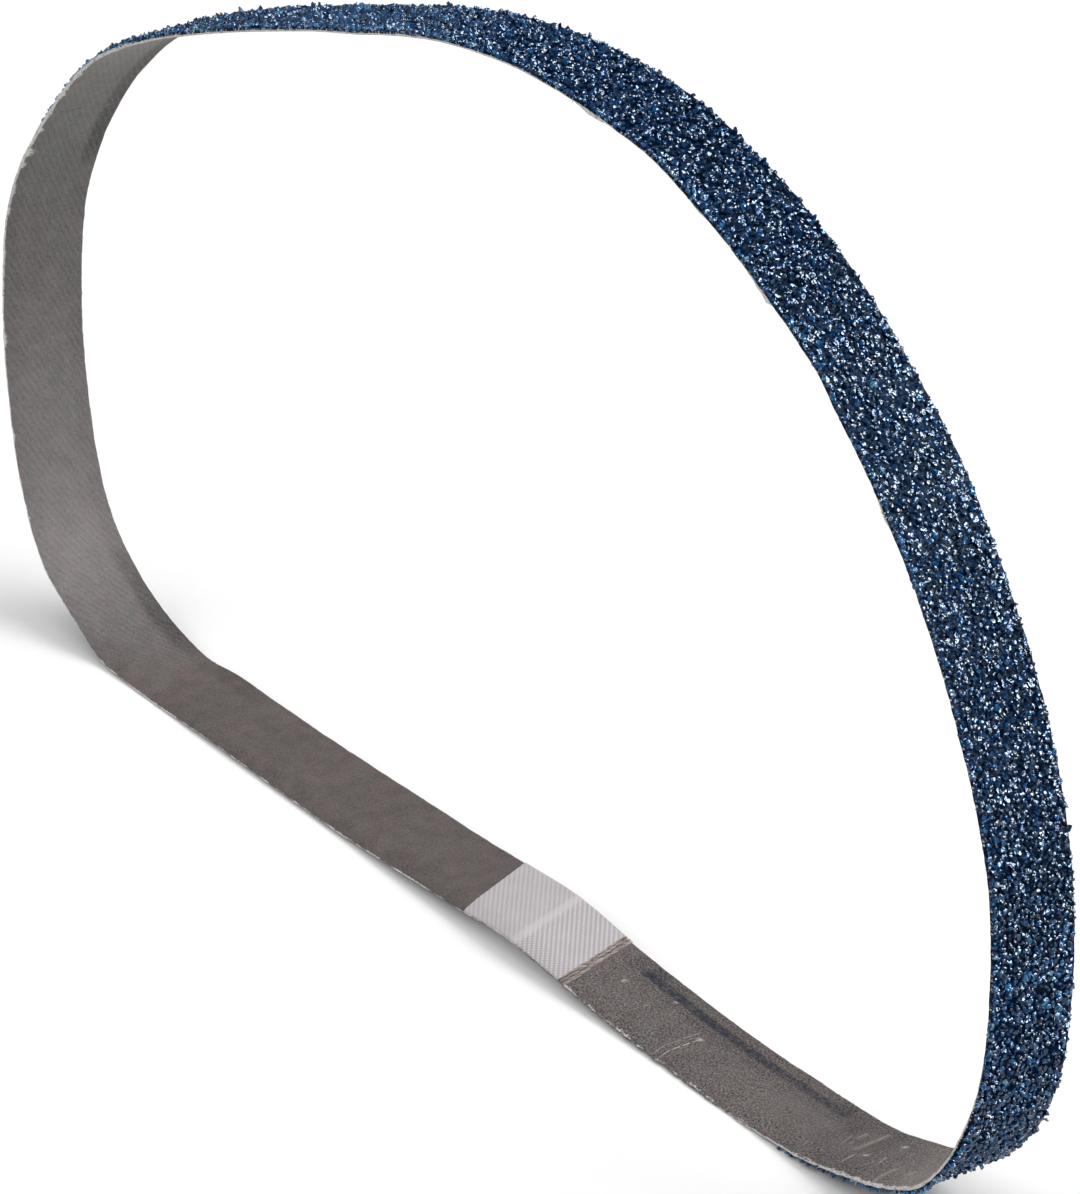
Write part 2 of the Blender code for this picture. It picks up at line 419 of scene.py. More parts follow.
def cloth_material():
    shader = Shader("resin_filled_twill", Specular_IOR_Level=0.03)
    place = shader.place()

    # Twill lines: short strokes that come and go, because the filling lies over them
    waver = shader.spread(shader.noise(place, 0.8, 3.0, 0.6), 0, 1, -0.6, 0.6)
    line = shader.maths("ADD", shader.lines(place, TWILL_ANGLE, TWILL_PITCH), waver)
    waves = shader.maths("SINE", shader.maths("MULTIPLY", line, 2 * math.pi))
    strokes = shader.noise(shader.stretched(place, (0.8, 1.7, 1.0)), 1.0, 3.0, 0.65)
    twill = shader.maths("MULTIPLY", waves, shader.spread(strokes, 0.38, 0.66))
    threads = shader.noise(shader.stretched(place, (1.0, 1.5, 1.0)), 2.6, 3.0, 0.7)
    twill_shows = shader.attribute("twill_shows")

    # Colours: neutral at the upper left, warmer below, with broad patches of a greener and a redder grey
    mottle = shader.noise(place, 0.35, 5.0, 0.62)
    hue = shader.spread(shader.noise(place, 0.3, 4.0, 0.6), 0.4, 0.6)
    upper, middle, lower = [shader.mix(hue, srgb(*greener), srgb(*redder)) for greener, redder in CLOTH_GREYS]
    warm = shader.attribute("warm")
    colour = shader.mix(shader.spread(warm, 0.0, 0.5), upper, middle)
    colour = shader.mix(shader.spread(warm, 0.5, 1.0), colour, lower)

    # Lightness: the twill, its threads, the painted light and shade and the zones, the mottling and the
    # pebbles of the filling
    pebbles = shader.noise(place, 3.4, 3.0, 0.65)
    pebble_shows = shader.attribute("pebbles")
    bright_grains = shader.spread(shader.noise(place, 5.0, 2.0, 0.6), 0.57, 0.74, 0.0, 1.7)
    speckle = shader.maths("ADD", bright_grains, shader.swing(pebbles, -0.75, 0.6))
    speckle = shader.maths("MULTIPLY", pebble_shows, speckle)
    light = shader.maths("MULTIPLY", twill_shows, shader.maths("MULTIPLY", twill, TWILL_LIFT))
    for part in (shader.swing(threads, -THREAD_LIFT, THREAD_LIFT), shader.attribute("painted_light_and_tone"),
                 shader.swing(mottle, -MOTTLE_LIFT, MOTTLE_LIFT), speckle, 1.0):
        light = shader.maths("ADD", light, part)
    colour = shader.times(colour, shader.maths("MAXIMUM", light, DARKEST_CLOTH))

    # A few light specks of stray fibre, then the scratches' soft marks
    specks = shader.noise(place, 1.7, 2.0, 0.5)
    colour = shader.mix(shader.spread(specks, 0.75, 0.81), colour, srgb(150, 143, 141))
    colour = shader.mix(shader.attribute("mark"), colour, srgb(176, 169, 167))
    # One plain dark blue-grey stripe, worn thin in places
    thin = shader.noise(place, 1.3, 3.0, 0.65)
    ragged = shader.swing(shader.noise(place, 1.6, 4.0, 0.7), -0.5, 0.4)
    stripe = shader.spread(shader.maths("ADD", shader.attribute("stripe"), ragged), 0.15, 1.05)
    stripe = shader.maths("MULTIPLY", stripe, shader.spread(thin, 0.3, 0.62, 0.95, 0.6))
    colour = shader.mix(stripe, colour, srgb(25, 34, 50))
    # Bare cotton where the edge is worn
    fluff = shader.noise(place, 2.6, 4.0, 0.65)
    bare = shader.maths("ADD", shader.attribute("edge_wear"), shader.swing(fluff, -0.35, 0.35))
    colour = shader.mix(shader.spread(bare, 0.5, 0.9), colour, srgb(200, 198, 195))
    # The cut edge itself: cream and grey thread ends, with specks of brown and of blue resin
    ends = shader.ramp(fluff, (0.33, srgb(124, 104, 92)), (0.43, srgb(170, 167, 164)),
                       (0.56, srgb(203, 200, 197)), (0.66, srgb(118, 138, 158)))
    open_edge = shader.maths("ADD", shader.attribute("cut_face"), shader.swing(fluff, -0.2, 0.2))
    colour = shader.mix(shader.spread(open_edge, 0.35, 0.6), colour, ends)

    relief = shader.maths("ADD", shader.maths("MULTIPLY", twill, twill_shows),
                          shader.maths("MULTIPLY", pebbles, shader.spread(pebble_shows, 0, 1, 0.5, 4.0)))
    normal = shader.bump(relief, 0.00004, 0.7)
    return shader.wire(Base_Color=colour, Normal=normal, Roughness=shader.swing(mottle, 0.74, 0.9))


# Broad soft streaks across the cloth: distance, the two sides they run between, half width and strength
STREAKS = (
    (60.0, 4.2, -0.8, 0.22, 0.75), (69.0, -2.3, -5.9, 0.3, 0.75), (58.0, 2.6, 1.0, 0.2, 0.5),
    (72.0, -2.0, -2.9, 0.4, 0.7),
)
# Light scratches across the cloth: distance and side where each starts and ends, half its width, and strength
SCRATCHES = (
    (20.9, -0.2, 20.4, -5.6, 0.025, 0.5),
    (28.9, 1.2, 28.5, -6.0, 0.03, 0.6),
    (30.0, 0.3, 29.6, -6.0, 0.045, 0.95),
    (60.0, 4.1, 60.1, -0.6, 0.03, 0.4),
    (61.2, -2.0, 61.6, -4.6, 0.035, 0.6),
    (65.2, -0.4, 65.9, -2.4, 0.035, 0.7),
    (57.9, 2.6, 58.0, 1.0, 0.03, 0.4),
    (68.5, 0.8, 70.0, -0.4, 0.02, 0.4),
    (74.2, 0.0, 81.8, -5.1, 0.03, 0.8),
    (349.0, 4.2, 346.9, -5.9, 0.025, 0.35),
)
# More of them, finer and at random: between which two distances, and how many
FINE_SCRATCHES = (57, 80, 40)
FINE_SCRATCH_HALF = 0.02
# Their length in mm, also that of the pieces that all scratches are broken into
SCRATCH_PIECES = (0.4, 2.2)
# Most of the fine ones run across the belt, give or take, as an angle in radians
SCRATCH_HEADING = 1.75
SCRATCH_SPREAD = 0.22
# The cotton that a scratch raises is this much thicker than the scratch, and stands this far up
SCRATCH_BREADTH = 1.5
SCRATCH_RAISED = 0.00003
# Small round light marks: distance, side and radius
MARKS = (
    (30.0, 0.2, 0.28), (64.5, 2.9, 0.3), (62.4, -1.3, 0.25), (15.4, 0.2, 0.22), (21.6, 3.3, 0.2),
    (22.4, 2.8, 0.18),
)
# Whitish worn patches of the near edge: distance, half length, and how far in they reach
WORN_PATCHES = (
    (331.0, 0.9, 0.9), (337.0, 1.2, 1.2), (341.5, 1.2, 1.1), (346.3, 1.4, 1.1), (350.9, 0.8, 1.0),
    (356.0, 0.9, 1.9), (358.7, 0.6, 1.1), (363.2, 1.0, 0.9), (367.0, 0.8, 0.7), (374.0, 0.9, 0.5),
    (386.0, 1.0, 0.6), (399.5, 1.2, 0.4), (410.0, 1.4, 0.3), (12.5, 1.5, 0.55), (17.0, 1.0, 0.4),
    (23.0, 1.4, 0.5), (30.0, 1.2, 0.6), (37.0, 1.6, 0.5), (63.5, 1.2, 0.7), (67.0, 1.4, 0.9),
    (70.5, 1.2, 1.2), (74.0, 1.6, 1.5), (77.5, 1.2, 1.3), (81.0, 1.0, 0.9),
)
# The plain stripe: from, to, and its two sides
STRIPE = (15.6, 53.0, 3.15, 4.05)
# Its blunt ends: how long they are, and how far they rise towards the rim
STRIPE_ENDS = (2.2, 5.6)
# It thins out from the first distance on, over the second
STRIPE_THINS = (25, 30)
# Zones: from, to and fade along the belt, the same across it, and an amount
ALL_ACROSS = (-7, 7, 1)
# Where the cloth is lighter or darker
CLOTH_ZONES = (
    (333, 357, 7, 3.9, 5.4, 1.2, -0.38),
    (14, 56, 4, 2.4, 6, 2.0, -0.14),
    (385, 445, 10, 4.2, 6, 1.6, -0.12),
    (422, 433, 6, 4.2, 6, 1.2, -0.20),
    (74, 86, 4, -6, -2.5, 2.5, 0.16),
)
# Where the filling's pebbles show more or less, and how much they show elsewhere
PEBBLE_ZONES = ((11, 95, 1, *ALL_ACROSS, 0.85), (48, 60, 6, -2, 3, 2, -0.35))
FEW_PEBBLES = 0.08
# Where the near edge is worn most, at the upper left and past the joint, and its wear elsewhere in mm
WORN_ZONES = (
    (325, 375, 8, *ALL_ACROSS, 0.22),
    (10, 46, 4, *ALL_ACROSS, 0.2),
    (58, 92, 4, *ALL_ACROSS, 0.5),
)
LEAST_WORN = 0.12


def with_zones(value, zones, d, y):
    """A value plus the amounts of all zones that each place lies in."""
    for start, end, fade, low, high, fade_across, amount in zones:
        value = value + amount * soft_window(d, start, end, fade) * soft_window(y, low, high, fade_across)
    return value


def cloth_values(distance, side):
    """What the cloth's material reads at each place: zones, marks and worn edges."""
    d = distance / MM
    y = side / MM
    # The crease's change of tone runs aslant
    past_crease = rise(d - CREASE - CREASE_SLANT * y, 0, CREASE_FADE)
    warm = 0.5 * rise(d, *TURNS_WARM) + 0.5 * past_crease
    warm = np.where(d < PAST_JOINT_ENDS, WARM_PAST_JOINT, warm)
    twill = 1.0 - 0.8 * past_crease - 0.9 * soft_window(d, *NO_TWILL)
    pebbles = with_zones(FEW_PEBBLES, PEBBLE_ZONES, d, y)
    # The cloth's painted light and shade along the loop
    places, lights = zip(*CLOTH_PAINTED_LIGHT)
    painted_light_and_tone = np.interp(d, places, lights, period=BELT_LENGTH / MM)
    # Just before the crease the near side is lighter: a painted sheen
    painted_sheen = rise(d, *SHEEN_FROM) * (1 - past_crease) * soft_window(y, *SHEEN_SIDES)
    painted_light_and_tone = painted_light_and_tone + SHEEN_LIFT * painted_sheen
    painted_light_and_tone = with_zones(painted_light_and_tone, CLOTH_ZONES, d, y) + 0.03 * wander(distance, 0.009, 5)
    start, end, low, high = STRIPE
    blunt_length, rises_to = STRIPE_ENDS
    stripe = soft_window(d, start, end, 1.2) * soft_window(y, low, high, 0.6)
    for blunt_start in (start, end - blunt_length):
        blunt = soft_window(d, blunt_start, blunt_start + blunt_length, 0.5)
        stripe = np.maximum(stripe, 0.6 * blunt * soft_window(y, low, rises_to, 0.4))
    stripe = stripe * (1.0 - 0.3 * rise(d, *STRIPE_THINS) + 0.12 * wander(distance, 0.002, 6))
    marked = np.zeros_like(d)
    for mark_d, mark_y, radius in MARKS:
        gap = np.hypot(d - mark_d, y - mark_y)
        marked = np.maximum(marked, 0.95 * np.clip(1.6 - gap / radius, 0, 1))
    for streak_d, high_y, low_y, half, strength in STREAKS:
        inside = soft_window(y, low_y, high_y, 0.4) * np.clip(1.4 - np.abs(d - streak_d) / half, 0, 1)
        dotted = 0.5 + 0.5 * wander(side, 0.00045, 23) * wander(distance, 0.0004, 24)
        marked = np.maximum(marked, strength * inside * dotted)
    worn = with_zones(LEAST_WORN, WORN_ZONES, d, y)
    for middle, half, reach in WORN_PATCHES:
        worn = np.maximum(worn, reach * soft_window(d, middle - half / 2, middle + half / 2, half))
    worn = worn * (1 + 0.45 * wander(distance, 0.0012, 8) + 0.45 * wander(distance, 0.0005, 9))
    edge = np.clip(1.0 - (y + 6.0) / np.maximum(worn, 0.05), 0, 1)
    far_edge = np.clip(1.0 - (6.0 - y) / 0.16, 0, 1) * 0.5
    return {
        "warm": warm,
        "twill_shows": twill,
        "pebbles": pebbles,
        "painted_light_and_tone": painted_light_and_tone,
        "stripe": stripe,
        "mark": marked,
        "edge_wear": np.maximum(edge, far_edge),
    }


# Frayed burrs on the near edge that stick into the loop: from, tallest, to, and height, in mm along the belt
BURRS = (
    (34.6, 36.2, 37.2, 0.15), (38.6, 39.6, 41.0, 0.12), (163.4, 164.6, 168.5, 0.4),
    (191.6, 192.6, 197.5, 0.55), (205.0, 206.0, 208.0, 0.2), (223.6, 225.6, 229.5, 0.5),
    (318.4, 319.0, 319.8, 0.1),
)


def near_burrs(distance):
    """How far the near edge's burrs reach into the loop at each distance."""
    d = distance / MM
    reach = np.zeros_like(d)
    for start, top, end, height in BURRS:
        share = np.clip(np.minimum((d - start) / (top - start), (end - d) / (end - top)), 0, 1)
        reach = np.maximum(reach, height * share * (1.0 + 0.25 * wander(distance, 0.0007, 17)))
    return reach * MM


# Two waves in each cut edge: height, wavelength, and a seed to which the edge's sign is added
EDGE_WAVES = ((0.00004, 0.0017, 11), (0.00003, 0.0006, 15))
# The near edge is more ragged past the joint: by how much, and from, to and fade in mm
NEAR_RAGGED = 1.6
RAGGED_ZONE = (8, 90, 6)
# The cloth is this much narrower than the belt on each side
CLOTH_STANDS_IN = 0.00003


def cut_edge(distance, sign):
    """The side (y) of the cloth's near (sign -1) or far (sign 1) cut edge: a little ragged."""
    ragged = waves(distance, *((height, wavelength, seed + sign) for height, wavelength, seed in EDGE_WAVES))
    if sign < 0:
        ragged = ragged * (1 + NEAR_RAGGED * soft_window(distance / MM, *RAGGED_ZONE))
    return sign * (HALF_WIDTH - CLOTH_STANDS_IN + ragged)


# The near cut edge shows less bare cotton past the joint: by how much, and from, to and fade in mm
DULL_EDGE = 0.55
DULL_ZONE = (6, 56, 6)
# How much of it shows where the edge is rolled outwards most, and how much at the far edge
LEAST_BARE = 0.1
FAR_BARE = 0.75
# The cloth's face swells a little, most in the middle
SWELL = ((0.00003, 0.006, 21), (0.00002, 0.0025, 22))
# The side where the burrs start to rise, and how much further out they have their full height, in mm
BURRS_FROM = 5.3
BURRS_RISE = 0.6
# Edges that turn more than this stay sharp
SHARP = math.radians(50)


def cloth_strip(material):
    """The strip of cloth: a fine grid inside the loop, cut edges, and a plain back that the grain covers."""
    distance = sections(JOINT_SLIT / 2, BELT_LENGTH - JOINT_SLIT / 2, CLOTH_STEP)
    share = np.linspace(-1, 1, CLOTH_COLUMNS + 1)
    inset = EDGE_ROUNDING / HALF_WIDTH
    edge = [EDGE_ROUNDING, BACKING_THICKNESS - EDGE_ROUNDING / 3]
    shares = np.concatenate([share * (1 - inset), [1.0, 1.0, 1 - inset],
                             BACK_COLUMNS, [-1 + inset, -1.0, -1.0]])
    heights = np.concatenate([np.zeros(CLOTH_COLUMNS + 1), edge,
                              np.full(len(BACK_COLUMNS) + 2, BACKING_THICKNESS), edge[::-1]])
    side = between(cut_edge(distance, -1), cut_edge(distance, 1), shares)
    height = heights - (heights == 0) * waves(distance, *SWELL)[:, None] * (1 - shares ** 2)
    at = leaning(distance[:, None], side)
    at_burrs = rise(-side / MM, BURRS_FROM, BURRS_RISE) * (height < BACKING_THICKNESS * 0.4)
    height = height - near_burrs(distance)[:, None] * at_burrs
    values = cloth_values(at, side)
    cut = np.abs(shares) > 1 - inset / 2
    covered = np.clip((read_off(ROLLED, at) - 0.45) * 2.2, 0, 1 - LEAST_BARE)
    values["cut_face"] = cut * np.where(shares < 0, 1 - covered, FAR_BARE)
    dull = DULL_EDGE * soft_window(at / MM, *DULL_ZONE) * cut * (shares < 0)
    values["edge_wear"] = values["edge_wear"] * (1 - dull)
    faces = ring_faces(*side.shape)
    piece = belt_piece("twill_cloth", (at, side, height), faces, material, values)
    piece.data.set_sharp_from_angle(angle=SHARP)
    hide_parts("cloth_backing")


# The coat of abrasive
COAT_STEP = 0.0003
COAT_COLUMNS = 40
RESIN_TOP = 0.00056
RESIN_LUMPS = 0.00006
RESIN_SHARP = math.radians(60)
# How far the resin's sides stand in from the cloth's edges, and how far its skirt stands out past them
RESIN_STANDS_IN = 0.00003
SKIRT_STANDS_OUT = 0.00005
# The skirt's lower rim: how far down it may come, and the wave in it
SKIRT_LOWEST = 0.00002
SKIRT_WAVE = (0.00006, 0.0011, 33)
GRAIN_SHAPES = 72
GRAIN_SEED = 40
# Grain sizes: half the width in metres, and how many darts are thrown for them
GRAIN_PASSES = ((0.00050, 9000), (0.00042, 40000), (0.00032, 90000))
GRAIN_CROWDING = 0.68
# A grain's middle: its height, how far it may be off that, and how much lower it is for each metre of half
# width past the usual
GRAIN_MIDDLE = 0.00068
GRAIN_SINKS = (-0.00016, 0.00010)
USUAL_GRAIN = 0.00030
LARGER_LOWER = 0.5
# Near the edge grains sink where the resin has run over it: from which side on, over how many mm this sets
# in, and how low the resin's rim has to come
EDGE_GRAINS = (5.35, 0.3)
RUNS_OVER = 0.45
# How light the grains are, as the two values of a beta distribution, and how rough
GRAIN_TINTS = (1.3, 2.2)
GRAIN_ROUGHNESS = (0.03, 0.15)
# No grain of the outside is thrown nearer to the belt's sides than this
GRAIN_EDGE = 0.00018
# How many grains lie with a flat top, how many more at the far side, and how high it is in half widths
FLAT_SHARE = 0.35
FLAT_FAR = 0.25
FLAT_AT = 0.5
# How many grains stand proud of the others, and how many more of them along the top: from, to and fade in mm
PROUD_SHARE = 0.06
PROUD_ON_TOP = 0.08
PROUD_ZONE = (190, 345, 10)
# Those are slimmer and taller, and stand higher
SPIKE = (0.75, 0.75, 1.45)
PROUD_BY = (0.00010, 0.00030)
# How much bluer the grain is at the lower bend: by how much, and from, to and fade in mm
LOWER_TINT = 0.14
LOWER_BEND = (60, 105, 12)
# How much lighter it is along the near side, and how far in
SIDE_LIGHTER = 0.3
SIDE_REACH = 0.0012
# Along the top it glints less: from, to and fade in mm
TOP_GRAIN = (262, 345, 25)
# How much rougher and bluer it is there, and how much paler the lowest grains of its near side are
TOP_ROUGHER = 0.22
TOP_BLUER = 0.12
TOP_RIM_PALER = 0.6
# Grains along, across and upwards, in half widths
GRAIN_LENGTHS = (0.75, 1.35)
GRAIN_BREADTHS = (0.7, 1.1)
GRAIN_HEIGHTS = (0.75, 1.1)
# How far grains with a flat top lean at most, and the others
FLAT_LEAN = math.radians(22)
GRAIN_LEAN = math.radians(75)
# How far a grain may stand out past the belt's outside, its near side and its far side
GRAIN_PAST_OUTSIDE = 0.00045
GRAIN_PAST_NEAR = 0.00012
GRAIN_PAST_FAR = 0.00008
# Grains on the near side: from, to, how far up the side's height they sit as two shares, their pitch, the
# smallest and largest half width, and how many are kept
RIM_ROWS = (
    (0.052, 0.094, 0.62, 1.00, 0.00072, 0.00028, 0.00050, 0.75),
    (0.094, 0.326, 0.00, 0.36, 0.00046, 0.00017, 0.00036, 0.85),
    (0.094, 0.326, 0.40, 0.75, 0.00046, 0.00017, 0.00036, 0.85),
    (0.326, 0.350, 0.00, 0.14, 0.00048, 0.00016, 0.00030, 0.7),
)
# Where the coat turns up from the ground it is thinner: from, to, fade, and the share of grains missing
THINNED = (57, 74, 4)
THINNED_SHARE = 0.3
# Names of the pieces of grain, and the distance at which each ends
GRAIN_PIECES = (("grain_lower", 0.092), ("grain_right", 0.200), ("grain_top", 0.320), ("grain_left", 0.415),
                ("grain_ground", 0.520))


def resin_material():
    shader = Shader("blue_resin", Specular_IOR_Level=0.03, Specular_Tint=(0.5, 0.76, 1.0, 1.0))
    place = shader.place()
    lumps = shader.noise(place, 1.6, 2.0, 0.5)
    colour = shader.mix(shader.swing(lumps), srgb(1, 6, 16), srgb(2, 20, 46))
    normal = shader.bump(lumps, 0.0005, 0.8)
    return shader.wire(Base_Color=colour, Normal=normal, Roughness=shader.swing(lumps, 0.3, 0.5))


def grain_material():
    shader = Shader("blue_abrasive_grain", IOR=1.5, Specular_Tint=(0.70, 0.86, 1.0, 1.0))
    place = shader.place()
    tint = shader.attribute("tint")
    colour = shader.ramp(tint, (0.0, srgb(5, 27, 52)), (0.4, srgb(8, 50, 94)), (0.65, srgb(12, 74, 132)),
                         (0.85, srgb(24, 104, 164)), (0.97, srgb(66, 144, 194)), (1.0, srgb(132, 168, 194)))
    film = shader.noise(place, 4.0, 3.0, 0.6)
    colour = shader.mix(shader.spread(film, 0.4, 0.6), colour, srgb(6, 31, 60))
    rough = shader.maths("ADD", shader.attribute("gloss"), shader.swing(film, -0.03, 0.06))
    normal = shader.bump(shader.noise(place, 2.0, 1.0, 0.5), 0.0005, 0.9)
    return shader.wire(Base_Color=colour, Roughness=rough, Normal=normal)


def resin_layer(material):
    """The sheet of resin that the grains sit in. In places its near side runs down over the cut edge."""
    distance = sections(JOINT_SLIT / 2, BELT_LENGTH - JOINT_SLIT / 2, COAT_STEP)
    shares = np.concatenate([np.linspace(-1, 1, COAT_COLUMNS + 1), [1.0, -1.0, -1.0, -1.0]])
    back = BACKING_THICKNESS + 2 * MICRON
    heights = np.concatenate([np.full(COAT_COLUMNS + 1, RESIN_TOP), np.full(4, back)])
    skirt = np.clip(read_off(SKIRT, distance) * MM + waves(distance, SKIRT_WAVE), SKIRT_LOWEST, back)
    hangs = np.clip((back - skirt) / SKIRT_STANDS_OUT, 0, 1)
    edge = cut_edge(distance, -1) + read_off(COAT_INSET, distance) * MM
    stands_in = RESIN_STANDS_IN * (1 - hangs)
    near = edge + stands_in - SKIRT_STANDS_OUT * hangs
    side = between(near, cut_edge(distance, 1) - RESIN_STANDS_IN, shares)
    lumps = np.random.default_rng(31).uniform(-RESIN_LUMPS, RESIN_LUMPS, side.shape)
    lumps = (lumps + np.roll(lumps, 1, axis=0) + np.roll(lumps, 1, axis=1)) / 2
    height = heights + lumps * (heights == RESIN_TOP)
    # The last three corners of each ring: the skirt's lower lip, its inner lip, and the corner behind it
    side[:, -2:] = (edge - 2 * MICRON * hangs + stands_in)[:, None]
    height[:, -3:-1] = skirt[:, None]
    places = (leaning(distance[:, None], side), side, height)
    faces = [face[::-1] for face in ring_faces(*side.shape)]
    piece = belt_piece("resin_coat", places, faces, material)
    piece.data.set_sharp_from_angle(angle=RESIN_SHARP)
    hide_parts("abrasive_coat")


def thrown_grains():
    """Places for the grains: distance, side and half width, largest first, none crowding another."""
    rng = np.random.default_rng(GRAIN_SEED)
    cell = 2 * GRAIN_PASSES[0][0]
    across = int(BELT_WIDTH / cell) + 3
    cells = {}
    kept = []
    for radius, darts in GRAIN_PASSES:
        reach = HALF_WIDTH - GRAIN_EDGE
        spots = np.stack([rng.uniform(0, BELT_LENGTH, darts), rng.uniform(-reach, reach, darts)], axis=1)
        sizes = radius * rng.uniform(0.82, 1.18, darts)
        for (d, y), size in zip(spots.tolist(), sizes.tolist()):
            column = int(d / cell)
            row = int((y + HALF_WIDTH) / cell) + 1
            free = True
            for key in ((column + i) * across + row + j for i in (-1, 0, 1) for j in (-1, 0, 1)):
                for other_d, other_y, other_size in cells.get(key, ()):
                    if math.hypot(other_d - d, other_y - y) < (size + other_size) * GRAIN_CROWDING:
                        free = False
                        break
                if not free:
                    break
            if free:
                cells.setdefault(column * across + row, []).append((d, y, size))
                kept.append((d, y, size))
    return np.array(kept)


def rim_grains(rng):
    """Rows of grains that show on the coat's own near side: distance, side, half width and height."""
    rows = []
    for start, end, low, high, pitch, smallest, largest, kept in RIM_ROWS:
        places = np.arange(start, end, pitch)
        count = len(places)
        d = places + rng.uniform(-0.4, 0.4, count) * pitch
        size = rng.uniform(smallest, largest, count)
        y = -HALF_WIDTH + size * rng.uniform(0.35, 0.7, count)
        lowest = read_off(SKIRT, d) * MM
        height = lowest + (BELT_THICKNESS - lowest) * rng.uniform(low, high, count)
        rows.append(np.stack([d, y, size, height], axis=1)[rng.random(count) < kept])
    return np.concatenate(rows)


def crystal_shapes():
    """Sharp-edged crystals of half width 1, each the hull of a few points: (points, triangles)."""
    rng = np.random.default_rng(GRAIN_SEED + 1)
    shapes = []
    for _ in range(GRAIN_SHAPES):
        corners = int(rng.integers(10, 15))
        turns = np.arange(corners) * math.pi * (3 - math.sqrt(5)) + rng.uniform(0, 2 * math.pi)
        rises = 1 - 2 * (np.arange(corners) + 0.5) / corners
        rises = np.clip(rises + rng.uniform(-0.22, 0.22, corners), -1, 1)
        turns = turns + rng.uniform(-0.45, 0.45, corners)
        flat = np.sqrt(1 - rises ** 2)
        points = np.stack([flat * np.cos(turns), flat * np.sin(turns), rises], axis=1)
        points *= rng.uniform(0.78, 1.12, corners)[:, None]
        maker = bmesh.new()
        for point in points:
            maker.verts.new(point)
        bmesh.ops.convex_hull(maker, input=maker.verts)
        bmesh.ops.delete(maker, geom=[v for v in maker.verts if not v.link_faces], context="VERTS")
        bmesh.ops.triangulate(maker, faces=maker.faces)
        bmesh.ops.recalc_face_normals(maker, faces=maker.faces)
        maker.verts.index_update()
        shapes.append((np.array([v.co for v in maker.verts]),
                       np.array([[v.index for v in face.verts] for face in maker.faces])))
        maker.free()
    return shapes


def matrices(*rows):
    """One matrix of 3 x 3 for each number in the arrays of the three rows."""
    return np.stack([np.stack(row, axis=-1) for row in rows], axis=1)


def random_turns(rng, count, lean):
    """Rotation matrices: any turn about the upright, then a lean of up to so much in any direction."""
    spin = rng.uniform(0, 2 * math.pi, count)
    tilt = rng.uniform(0, lean, count)
    about = rng.uniform(0, 2 * math.pi, count)
    zero = np.zeros(count)
    one = np.ones(count)

    def upright(angle):
        c, s = np.cos(angle), np.sin(angle)
        return matrices((c, -s, zero), (s, c, zero), (zero, zero, one))

    c, s = np.cos(tilt), np.sin(tilt)
    return upright(about) @ matrices((c, zero, s), (zero, one, zero), (-s, zero, c)) @ upright(spin)


